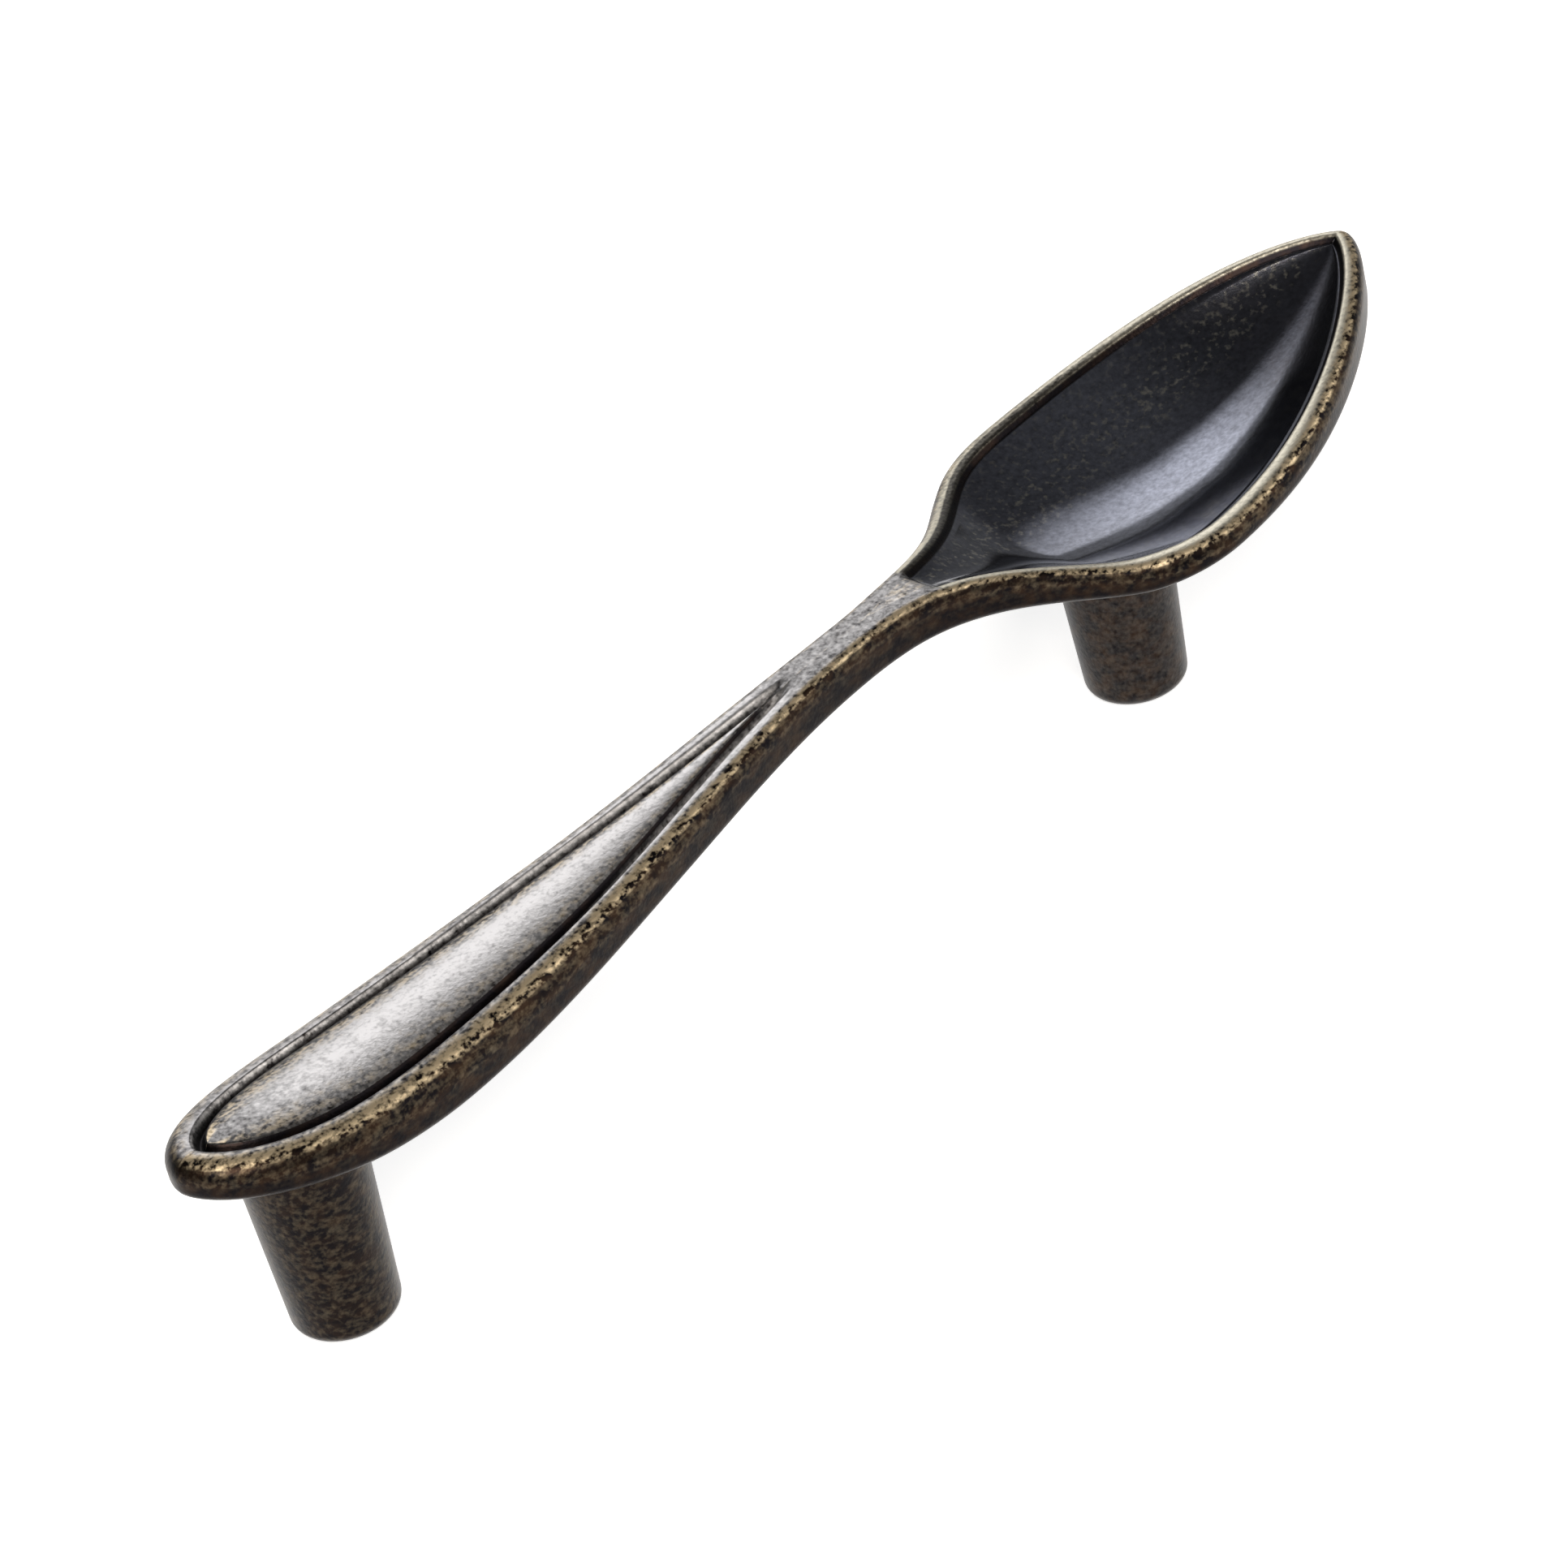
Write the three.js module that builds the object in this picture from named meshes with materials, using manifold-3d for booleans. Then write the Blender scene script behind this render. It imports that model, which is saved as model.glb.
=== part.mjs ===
// A spoon-shaped cabinet pull: one metal casting with a panelled handle, a narrow neck and a
// hollow bowl, carried on two tapered posts that are tapped for screws from behind the door.
//
// Millimetres. X runs from the handle's end to the bowl's tip, Y runs across, and Z points away
// from the door. The origin is midway between the two screw holes, in the plane of the door.

import * as THREE from 'three';
import { mergeVertices } from 'three/addons/utils/BufferGeometryUtils.js';
import Module from 'manifold-3d';

// Driving dimensions: the plan.
const HOLE_SPACING = 96; // between the two screw centres
const END_OVERHANG = 11.1; // handle's end, beyond its screw
const TIP_OVERHANG = 35; // bowl's tip, beyond its screw
const HANDLE_WIDTH = 15.7;
const HANDLE_WIDE_IN = 5.5; // widest place of the handle, inward from its screw
const NECK_WIDTH = 4.8;
const NECK_IN = 30.3; // narrowest place of the neck, inward from the bowl's screw
const BOWL_WIDTH = 30.8;
const BOWL_WIDE_OUT = 1.2; // widest place of the bowl, outward from its screw
const END_NOSE = 1.7; // how far the outline runs straight across at the handle's end
const TIP_NOSE = 5; // length of the outline's last, nearly straight run into the tip
const TIP_ANGLE = 63.6; // between that run and the centre line, in degrees
const TIP_RADIUS = 1.6;

// Driving dimensions: the side view. Heights are those of the rim's crest above the door.
const END_HEIGHT = 23.1;
const END_SLOPE = 0.19; // fall of the crest just in from the handle's end, a ratio
const HANDLE_LOW_HEIGHT = 20.55;
const HANDLE_LOW_IN = 12.3; // lowest place of the handle, inward from its screw
const NECK_TOP_HEIGHT = 24.25;
const NECK_TOP_IN = 26.3; // highest place of the neck, inward from the bowl's screw
const BOWL_LOW_HEIGHT = 20.35;
const BOWL_LOW_IN = 6.7; // lowest place of the bowl's rim, inward from its screw
const TIP_HEIGHT = 26.55;
const TIP_SLOPE = 0.08; // rise of the crest at the tip, a ratio

// Driving dimensions: the thickness of the edge, crest to underside.
const END_THICKNESS = 3.5;
const HANDLE_THICKNESS = 4.6;
const SHANK_THICKNESS = 3.95;
const BOWL_EDGE_THICKNESS = 2.4;
const TIP_THICKNESS = 4.35;

// Driving dimensions: the rim and the grooved panel of the handle.
const HANDLE_EDGE_RADIUS = 2.2;
const NECK_EDGE_RADIUS = 1.1;
const UNDER_EDGE_RADIUS = 0.7;
const GROOVE_WIDTH = 1.3;
const GROOVE_DEPTH = 0.9;
const GROOVE_INSET_END = 2.95; // groove's centre line, in from the outline
const GROOVE_INSET_WIDE = 2.9;
const GROOVE_INSET_SHANK = 2.35;
const PANEL_CROWN = 0.7; // rise of the panel's middle above its edge, at its widest
const PANEL_TAPER = 37; // groove's end, inward from the bowl's screw
const GROOVE_RUNOUT = 5; // length over which the groove rises to nothing

// Driving dimensions: the bowl.
const BOWL_EDGE_RADIUS = 1.4;
const BEAD_TOP_NECK = 0.3; // width of the bead's level top, where the hollow starts
const BEAD_TOP_WIDE = 0.7;
const BEAD_TOP_TIP = 0.1;
const BEAD_LIP = 0.6; // width of the bead's inner face
const RECESS_STEP = 0.6; // drop from the bead's crest to the hollow's edge
const RECESS_IN = 22; // hollow's start at the neck, inward from the bowl's screw
const BOWL_DEPTH = 4.3; // crest to floor at the deepest place
const BOWL_DEEP_OUT = 8; // deepest place, outward from the bowl's screw
const BOWL_NECK_FALL = 1.6; // power of the floor's arch towards the neck: 1 is straight, 2 is round
const BOWL_TIP_RISE = 3; // the same towards the tip, where the floor turns up late
const BOWL_CROSS_ARCH = 1.85; // the same across the bowl
const BOWL_WALL = 2;

// Driving dimensions: the posts and their screw holes.
const FOOT_RADIUS = 4.5;
const FOOT_ROUND = 1.25;
const POST_TAPER = 0.05; // growth of the post's radius for each millimetre up
const POST_BITE = 0.45; // how far the post's top stands into the metal above, a share of it
const THREAD_RADIUS = 1.65; // tapping size for an M4 screw
const HOLE_DEPTH = 11;
const HOLE_CHAMFER = 0.45;
const DRILL_POINT = 1; // height of the cone that the drill leaves

const FINISH = { color: 0x5a4a34, roughness: 0.42, metalness: 0.85 };

// How finely the curved faces are divided.
const STATIONS = { end: 20, shank: 26, shoulder: 26, flank: 24, tip: 3 };
const EDGE_STEPS = 4;
const UNDER_EDGE_STEPS = 2;
const FACE_STEPS = 5;
const POST_SIDES = 48;
const FOOT_STEPS = 4;

// Places along X that the dimensions give.
const handleScrewX = -HOLE_SPACING / 2;
const bowlScrewX = HOLE_SPACING / 2;
const endX = handleScrewX - END_OVERHANG;
const handleWideX = handleScrewX + HANDLE_WIDE_IN;
const handleLowX = handleScrewX + HANDLE_LOW_IN;
const grooveEndX = bowlScrewX - PANEL_TAPER;
const neckX = bowlScrewX - NECK_IN;
const neckTopX = bowlScrewX - NECK_TOP_IN;
const recessX = bowlScrewX - RECESS_IN;
const bowlLowX = bowlScrewX - BOWL_LOW_IN;
const bowlWideX = bowlScrewX + BOWL_WIDE_OUT;
const bowlDeepX = bowlScrewX + BOWL_DEEP_OUT;
const tipX = bowlScrewX + TIP_OVERHANG;
const tipAngle = THREE.MathUtils.degToRad(TIP_ANGLE);
const tipBead = BOWL_EDGE_RADIUS + BEAD_TOP_TIP + BEAD_LIP;
const tipRecessX = tipX - TIP_RADIUS - (tipBead - TIP_RADIUS) / Math.sin(tipAngle);

const point = (x, y) => new THREE.Vector2(x, y);

// A curve that leaves one point along X and reaches the next along X. The two shares say how far
// each end holds its direction, as a part of the run in X.
function flowing(from, to, leaveShare, reachShare) {
  const run = to.x - from.x;
  return new THREE.CubicBezierCurve(
    from,
    point(from.x + run * leaveShare, from.y),
    point(to.x - run * reachShare, to.y),
    to,
  );
}

// Half of the outline seen from above, from the handle's end to the bowl's tip.
const handleWide = point(handleWideX, HANDLE_WIDTH / 2);
const neckNarrow = point(neckX, NECK_WIDTH / 2);
const bowlWide = point(bowlWideX, BOWL_WIDTH / 2);
const tipArc = new THREE.EllipseCurve(
  tipX - TIP_RADIUS,
  0,
  TIP_RADIUS,
  TIP_RADIUS,
  Math.PI / 2 - tipAngle,
  0,
  true,
);
const tipArcStart = tipArc.getPoint(0);
const outlineParts = [
  {
    count: STATIONS.end,
    curve: new THREE.CubicBezierCurve(
      point(endX, 0),
      point(endX, END_NOSE),
      point(THREE.MathUtils.lerp(handleWideX, endX, 0.855), HANDLE_WIDTH / 2),
      handleWide,
    ),
  },
  { count: STATIONS.shank, curve: flowing(handleWide, neckNarrow, 0.355, 0.315) },
  { count: STATIONS.shoulder, curve: flowing(neckNarrow, bowlWide, 0.6, 0.39) },
  {
    count: STATIONS.flank,
    curve: new THREE.CubicBezierCurve(
      bowlWide,
      point(THREE.MathUtils.lerp(bowlWideX, tipX, 0.51), BOWL_WIDTH / 2),
      point(tipArcStart.x - TIP_NOSE * Math.cos(tipAngle), tipArcStart.y + TIP_NOSE * Math.sin(tipAngle)),
      tipArcStart,
    ),
  },
  { count: STATIONS.tip, curve: tipArc },
];

// The height of the rim's crest, as a chain of curves read at any X.
const handleLow = point(handleLowX, HANDLE_LOW_HEIGHT);
const neckTop = point(neckTopX, NECK_TOP_HEIGHT);
const bowlLow = point(bowlLowX, BOWL_LOW_HEIGHT);
const endRun = (handleLowX - endX) * 0.35;
const tipRun = (tipX - bowlLowX) * 0.3;
const crestCurves = [
  new THREE.CubicBezierCurve(
    point(endX, END_HEIGHT),
    point(endX + endRun, END_HEIGHT - endRun * END_SLOPE),
    point(THREE.MathUtils.lerp(handleLowX, endX, 0.4), HANDLE_LOW_HEIGHT),
    handleLow,
  ),
  flowing(handleLow, neckTop, 0.5, 0.36),
  flowing(neckTop, bowlLow, 0.44, 0.19),
  new THREE.CubicBezierCurve(
    bowlLow,
    point(THREE.MathUtils.lerp(bowlLowX, tipX, 0.48), BOWL_LOW_HEIGHT),
    point(tipX - tipRun, TIP_HEIGHT - tipRun * TIP_SLOPE),
    point(tipX, TIP_HEIGHT),
  ),
];

function crestHeight(x) {
  const curve = crestCurves.find((c) => x <= c.v3.x) ?? crestCurves.at(-1);
  let low = 0;
  let high = 1;
  for (let step = 0; step < 30; step += 1) {
    const middle = (low + high) / 2;
    if (curve.getPoint(middle).x < x) low = middle;
    else high = middle;
  }
  return curve.getPoint(low).y;
}

// A value that eases from one named place to the next along X.
function easing(x, places) {
  const next = places.findIndex(([place]) => x < place);
  if (next === 0) return places[0][1];
  if (next < 0) return places.at(-1)[1];
  const [fromX, from] = places[next - 1];
  const [toX, to] = places[next];
  return THREE.MathUtils.lerp(from, to, THREE.MathUtils.smoothstep(x, fromX, toX));
}

const thickness = (x) =>
  easing(x, [
    [endX, END_THICKNESS],
    [handleLowX, HANDLE_THICKNESS],
    [(handleLowX + neckX) / 2, SHANK_THICKNESS],
    [neckTopX, SHANK_THICKNESS],
    [bowlWideX, BOWL_EDGE_THICKNESS],
    [tipX, TIP_THICKNESS],
  ]);

const edgeRadius = (x) =>
  easing(x, [
    [handleLowX, HANDLE_EDGE_RADIUS],
    [grooveEndX, NECK_EDGE_RADIUS],
    [neckTopX, NECK_EDGE_RADIUS],
    [bowlWideX, BOWL_EDGE_RADIUS],
  ]);

const beadTop = (x) =>
  easing(x, [
    [recessX, BEAD_TOP_NECK],
    [bowlWideX, BEAD_TOP_WIDE],
    [tipX, BEAD_TOP_TIP],
  ]);

const grooveInset = (x) =>
  easing(x, [
    [endX, GROOVE_INSET_END],
    [handleLowX, GROOVE_INSET_WIDE],
    [(handleLowX + grooveEndX) / 2, GROOVE_INSET_SHANK],
  ]);

// The groove runs out just before the neck, and the hollow starts with a short step after it.
const grooveShare = (x) => 1 - THREE.MathUtils.smoothstep(x, grooveEndX - GROOVE_RUNOUT, grooveEndX);
const recessShare = (x) => THREE.MathUtils.smoothstep(x, recessX, recessX + BEAD_LIP);

// The floor's depth below the crest along the centre line, an arch on each side of its deepest place.
function floorDepth(x) {
  const reach = x < bowlDeepX ? bowlDeepX - recessX : tipRecessX - bowlDeepX;
  const off = Math.min(1, Math.abs(x - bowlDeepX) / reach);
  const power = x < bowlDeepX ? BOWL_NECK_FALL : BOWL_TIP_RISE;
  return RECESS_STEP + (BOWL_DEPTH - RECESS_STEP) * (1 - off ** power);
}

// Rounded rise from the outer wall to the crest, for a point that lies inset from the outline.
function edgeDrop(inset, radius, height) {
  const out = Math.max(0, 1 - inset / radius);
  return height * (1 - Math.sqrt(Math.max(0, 1 - out * out)));
}

// One station of the outline with the sizes of the section that stands on it.
function section(place, inward, reach) {
  const x = place.x;
  const thick = thickness(x);
  const inBowl = THREE.MathUtils.smoothstep(x, grooveEndX, recessX);
  const groove = grooveInset(x);
  const grooveLip = groove - GROOVE_WIDTH / 2;
  const radius = THREE.MathUtils.lerp(Math.min(edgeRadius(x), grooveLip), edgeRadius(x), inBowl);
  const beadLip = radius + beadTop(x);
  const lip = THREE.MathUtils.lerp(grooveLip, beadLip, inBowl);
  const trough = THREE.MathUtils.lerp(groove, beadLip + BEAD_LIP * 0.4, inBowl);
  const face = THREE.MathUtils.lerp(groove + GROOVE_WIDTH / 2, beadLip + BEAD_LIP, inBowl);
  const edgeHeight = Math.min(radius, thick * 0.55);
  const underHeight = Math.min(UNDER_EDGE_RADIUS, thick * 0.3);
  return { place, inward, reach, radius, thick, lip, trough, face, edgeHeight, underHeight };
}

// Drop of the upper face below the crest at one inset, short of the inner face.
function rimDrop(s, x, inset) {
  const edge = edgeDrop(inset, s.radius, s.edgeHeight);
  const across = 1 - Math.abs(inset - s.trough) / Math.max(s.trough - s.lip, s.face - s.trough);
  const groove = GROOVE_DEPTH * Math.max(0, across) * grooveShare(x);
  const bead = RECESS_STEP * THREE.MathUtils.smoothstep(inset, s.lip, s.face) * recessShare(x);
  return edge + groove + bead;
}

// Drop of the inner face, the panel or the bowl's floor, from its edge (0) to the centre line (1).
function faceDrop(s, x, share) {
  const crownArch = 1 - (1 - share) ** 2;
  const panelWidth = (s.place.y - s.face) / (HANDLE_WIDTH / 2 - s.face);
  const crown = PANEL_CROWN * THREE.MathUtils.clamp(panelWidth, 0, 1) * crownArch * grooveShare(x);
  const hollowArch = 1 - (1 - share) ** BOWL_CROSS_ARCH;
  const hollow = (floorDepth(x) - RECESS_STEP) * hollowArch * recessShare(x);
  return rimDrop(s, x, Math.min(s.face, s.reach)) + hollow - crown;
}

// How far the underside hangs below the edge's own thickness on the centre line.
const bellyDrop = (s, x) => Math.max(0, floorDepth(x) * recessShare(x) + BOWL_WALL - s.thick);

// The points of half a section, from the centre line over the edge and back below.
function sectionPoints(s) {
  const points = [];
  const at = (inset) => {
    const held = Math.min(inset, s.reach);
    const x = s.place.x + s.inward.x * held;
    const y = Math.max(0, s.place.y + s.inward.y * held);
    return { x, y: s.reach <= inset ? 0 : y, inset: held };
  };
  const innerTop = at(s.face);
  for (let step = FACE_STEPS; step >= 1; step -= 1) {
    const share = step / FACE_STEPS;
    const z = crestHeight(innerTop.x) - faceDrop(s, innerTop.x, innerTop.y > 0 ? share : 0);
    points.push([innerTop.x, innerTop.y * (1 - share), z]);
  }
  const edgeInsets = [];
  for (let step = EDGE_STEPS; step >= 0; step -= 1) {
    edgeInsets.push(s.radius * (1 - Math.cos((Math.PI / 2) * (step / EDGE_STEPS))));
  }
  for (const inset of [s.face, s.trough, s.lip, ...edgeInsets]) {
    const p = at(inset);
    points.push([p.x, p.y, crestHeight(p.x) - rimDrop(s, p.x, p.inset)]);
  }
  for (let step = 0; step <= UNDER_EDGE_STEPS; step += 1) {
    const turn = (Math.PI / 2) * (step / UNDER_EDGE_STEPS);
    const p = at(UNDER_EDGE_RADIUS * (1 - Math.cos(turn)));
    const lift = s.underHeight * (1 - Math.sin(turn));
    points.push([p.x, p.y, crestHeight(p.x) - s.thick + lift]);
  }
  const innerUnder = at(UNDER_EDGE_RADIUS);
  for (let step = 1; step <= FACE_STEPS; step += 1) {
    const share = step / FACE_STEPS;
    const arch = innerUnder.y > 0 ? 1 - (1 - share) ** 2 : 0;
    const z = crestHeight(innerUnder.x) - s.thick - bellyDrop(s, innerUnder.x) * arch;
    points.push([innerUnder.x, innerUnder.y * (1 - share), z]);
  }
  return points;
}

// Every station along the half outline, with the direction inward and the way to the centre line.
// At the two ends that way runs along the centre line, and it is as long as the nose's radius.
function stations() {
  const noseRise = outlineParts[0].curve.v2.x - endX;
  const all = [section(point(endX, 0), point(1, 0), (1.5 * END_NOSE * END_NOSE) / noseRise)];
  for (const { curve, count } of outlineParts) {
    for (let step = curve === outlineParts[0].curve ? 1 : 0; step < count; step += 1) {
      const place = curve.getPoint(step / count);
      const along = curve.getTangent(step / count);
      const inward = point(along.y, -along.x);
      all.push(section(place, inward, place.y / -inward.y));
    }
  }
  all.push(section(point(tipX, 0), point(-1, 0), TIP_RADIUS));
  return all;
}

// A closed mesh with shared vertices, as the solid that joins and cuts work on.
const wasm = await Module();
wasm.setup();

function solid(positions, faces) {
  const loose = new THREE.BufferGeometry();
  loose.setAttribute('position', new THREE.Float32BufferAttribute(positions, 3));
  loose.setIndex(faces);
  return solidOf(loose);
}

function solidOf(geometry) {
  const bare = geometry.clone();
  bare.deleteAttribute('normal');
  bare.deleteAttribute('uv');
  const merged = mergeVertices(bare, 1e-3);
  const index = merged.getIndex().array;
  const kept = [];
  for (let i = 0; i < index.length; i += 3) {
    const [a, b, c] = [index[i], index[i + 1], index[i + 2]];
    if (a !== b && b !== c && c !== a) kept.push(a, b, c);
  }
  return new wasm.Manifold(
    new wasm.Mesh({
      numProp: 3,
      vertProperties: new Float32Array(merged.getAttribute('position').array),
      triVerts: new Uint32Array(kept),
    }),
  );
}

// The spoon itself: half sections along the outline, skinned and mirrored across the centre line.
function spoonSolid() {
  const positions = [];
  const faces = [];
  const rows = stations().map(sectionPoints);
  const columns = rows[0].length;
  for (const side of [1, -1]) {
    const first = positions.length / 3;
    for (const row of rows) {
      for (const [x, y, z] of row) positions.push(x, side * y, z);
    }
    for (let i = 0; i + 1 < rows.length; i += 1) {
      for (let j = 0; j + 1 < columns; j += 1) {
        const a = first + i * columns + j;
        const b = a + columns;
        if (side > 0) faces.push(a, b, b + 1, a, b + 1, a + 1);
        else faces.push(a, b + 1, b, a, a + 1, b + 1);
      }
    }
  }
  return solid(positions, faces);
}

// A solid turned about a screw's axis from a profile of radius and height.
function turned(profile, x) {
  const shape = new THREE.LatheGeometry(
    profile.map(([radius, height]) => point(radius, height)),
    POST_SIDES,
  );
  shape.rotateX(Math.PI / 2);
  shape.translate(x, 0, 0);
  return solidOf(shape);
}

// The metal above a post on the centre line: its lower and upper face.
function metalAbove(x) {
  const s = section(point(x, HANDLE_WIDTH / 2), point(0, -1), HANDLE_WIDTH / 2);
  const crest = crestHeight(x);
  return { under: crest - s.thick - bellyDrop(s, x), over: crest - floorDepth(x) * recessShare(x) };
}

function postSolid(x) {
  const { under, over } = metalAbove(x);
  const top = THREE.MathUtils.lerp(under, over, POST_BITE);
  const radiusAt = (height) => FOOT_RADIUS + POST_TAPER * height;
  const profile = [[0, 0]];
  for (let step = 0; step <= FOOT_STEPS; step += 1) {
    const turn = (Math.PI / 2) * (step / FOOT_STEPS);
    const radius = radiusAt(FOOT_ROUND) - FOOT_ROUND * (1 - Math.sin(turn));
    profile.push([radius, FOOT_ROUND * (1 - Math.cos(turn))]);
  }
  profile.push([radiusAt(top), top], [0, top]);
  return turned(profile, x);
}

function screwHole(x) {
  const mouth = THREAD_RADIUS + HOLE_CHAMFER;
  return turned(
    [
      [0, -HOLE_CHAMFER],
      [mouth + HOLE_CHAMFER, -HOLE_CHAMFER],
      [THREAD_RADIUS, HOLE_CHAMFER],
      [THREAD_RADIUS, HOLE_DEPTH],
      [0, HOLE_DEPTH + DRILL_POINT],
    ],
    x,
  );
}

function pullGeometry() {
  let body = spoonSolid();
  for (const x of [handleScrewX, bowlScrewX]) body = body.add(postSolid(x));
  for (const x of [handleScrewX, bowlScrewX]) body = body.subtract(screwHole(x));
  const mesh = body.getMesh();
  const geometry = new THREE.BufferGeometry();
  geometry.setAttribute('position', new THREE.BufferAttribute(mesh.vertProperties, 3));
  geometry.setIndex(new THREE.BufferAttribute(mesh.triVerts, 1));
  geometry.computeVertexNormals();
  return geometry;
}

const pull = new THREE.Mesh(pullGeometry(), new THREE.MeshStandardMaterial(FINISH));
pull.name = 'spoon_pull';

const group = new THREE.Group();
group.add(pull);

export default group;
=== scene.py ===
# %% [markdown]
# # A spoon-shaped cabinet pull
#
# The pull is one casting: a long handle with a grooved panel, a narrow neck and a hollow, pointed
# bowl, on two tapered posts. It is finished in antique bronze, which is a dark patina rubbed back
# to bare metal on everything that stands proud. We load the imported solid first, because it fixes
# where everything is.

import math

import bmesh
import bpy
from mathutils import Matrix, Vector


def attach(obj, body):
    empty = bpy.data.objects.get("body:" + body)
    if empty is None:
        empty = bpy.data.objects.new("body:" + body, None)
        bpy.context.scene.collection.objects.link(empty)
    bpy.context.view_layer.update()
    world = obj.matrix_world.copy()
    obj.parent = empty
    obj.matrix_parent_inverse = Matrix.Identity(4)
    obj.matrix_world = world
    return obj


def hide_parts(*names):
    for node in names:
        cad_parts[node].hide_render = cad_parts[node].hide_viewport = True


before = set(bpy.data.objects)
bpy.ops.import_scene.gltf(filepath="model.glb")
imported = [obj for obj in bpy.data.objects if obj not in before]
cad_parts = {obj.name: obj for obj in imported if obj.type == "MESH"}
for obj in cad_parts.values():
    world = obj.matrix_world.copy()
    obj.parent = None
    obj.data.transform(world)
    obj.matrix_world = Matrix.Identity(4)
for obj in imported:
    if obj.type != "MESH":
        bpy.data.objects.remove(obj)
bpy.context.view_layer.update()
MM = 0.001

# %% [markdown]
# ## The camera
#
# A long lens flattens the pull, as in a catalogue picture. We could place the camera by eye, but a
# small part fills the frame, so a degree shows. These angles were worked out from the pull's own
# outline: the camera looks down from above the near long side, and leans so that the pull climbs
# from the lower left to the upper right. The camera's three axes are built from the angles and
# become the columns of its matrix.

# %% Place the camera
PICTURE_SIDE = 1932
FOCAL_PIXELS = 7540
LENS_SENSOR = 36.0
CAMERA_TURN = math.radians(-38.34)
CAMERA_HEIGHT = math.radians(34.0)
CAMERA_LEAN = math.radians(13.975)
CAMERA_DISTANCE = 501.8 * MM
CAMERA_NEAR_LIMIT = 0.01
LOOK_AT = Vector((7.198, 0.0, 15.389)) * MM

level = Vector((math.cos(CAMERA_TURN), math.sin(CAMERA_TURN), 0))
back = Vector((
    math.sin(CAMERA_TURN) * math.cos(CAMERA_HEIGHT),
    -math.cos(CAMERA_TURN) * math.cos(CAMERA_HEIGHT),
    math.sin(CAMERA_HEIGHT),
))
upright = back.cross(level)
right = math.cos(CAMERA_LEAN) * level - math.sin(CAMERA_LEAN) * upright
up = math.sin(CAMERA_LEAN) * level + math.cos(CAMERA_LEAN) * upright

camera_data = bpy.data.cameras.new("camera")
camera_data.sensor_width = LENS_SENSOR
camera_data.lens = FOCAL_PIXELS / PICTURE_SIDE * LENS_SENSOR
camera_data.clip_start = CAMERA_NEAR_LIMIT
camera = bpy.data.objects.new("camera", camera_data)
camera.matrix_world = Matrix.Translation(LOOK_AT + back * CAMERA_DISTANCE) @ Matrix(
    (right, up, back)
).transposed().to_4x4()
bpy.context.scene.collection.objects.link(camera)
bpy.context.scene.camera = camera
bpy.context.scene.view_settings.view_transform = "Standard"
print("lens:", round(camera_data.lens, 1), "mm at", [round(c, 4) for c in camera.location])

# %% [markdown]
# ## Writing shader maths as Python
#
# A material is a graph of nodes, and long formulas are tedious to link by hand. This small class
# wraps a socket and overloads Python's operators, so that `1 - mask * 0.5` adds the Math nodes for
# us. Every other node comes from one function, which sets the node's own settings first and then
# fills or links its sockets. Most sockets go by their names. A Mix node has several sets of them
# under the same names, so its colour sockets go by their numbers.


# %% A socket that understands arithmetic
class Wire:
    """One output socket in a node tree, ready for arithmetic."""

    def __init__(self, tree, socket):
        self.tree = tree
        self.socket = socket

    def _math(self, operation, *values):
        return node(self.tree, "ShaderNodeMath", {"operation": operation}, dict(enumerate(values)))

    def __add__(self, other):
        return self._math("ADD", self, other)

    def __sub__(self, other):
        return self._math("SUBTRACT", self, other)

    def __rsub__(self, other):
        return self._math("SUBTRACT", other, self)

    def __mul__(self, other):
        return self._math("MULTIPLY", self, other)

    __radd__ = __add__
    __rmul__ = __mul__

    def clamped(self):
        return self._math("MINIMUM", self._math("MAXIMUM", self, 0.0), 1.0)


def node(tree, kind, settings=None, inputs=None, output=0):
    """Adds a node, sets it up and returns one of its outputs as a Wire."""
    made = tree.nodes.new(kind)
    for name, value in (settings or {}).items():
        setattr(made, name, value)
    for name, value in (inputs or {}).items():
        if isinstance(value, Wire):
            tree.links.new(value.socket, made.inputs[name])
        else:
            made.inputs[name].default_value = value
    return Wire(tree, made.outputs[output]) if made.outputs else None


MIX_AMOUNT = 0
MIX_COLOUR_A = 6
MIX_COLOUR_B = 7
MIX_RESULT = 2


def mixed(tree, amount, low, high):
    """A colour between two others."""
    colours = [(*colour, 1) if isinstance(colour, tuple) else colour for colour in (low, high)]
    sockets = {MIX_AMOUNT: amount, MIX_COLOUR_A: colours[0], MIX_COLOUR_B: colours[1]}
    return node(tree, "ShaderNodeMix", {"data_type": "RGBA"}, sockets, output=MIX_RESULT)


print("shader helpers are ready")

# %% [markdown]
# ## The floor
#
# A pale floor runs out past the picture on every side. It stays an ordinary matt surface, so it
# keeps the pull's shadow. We could light it until it turns white, but that would light the pull too.
# Instead it has a glow of its own that shows only to the camera and in mirrored views.

# %% Lay the floor
FLOOR_REACH = 4.0
FLOOR_PAINT = (0.9, 0.9, 0.9, 1)
FLOOR_GLOW = 0.65
WHITE = (1, 1, 1, 1)


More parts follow.
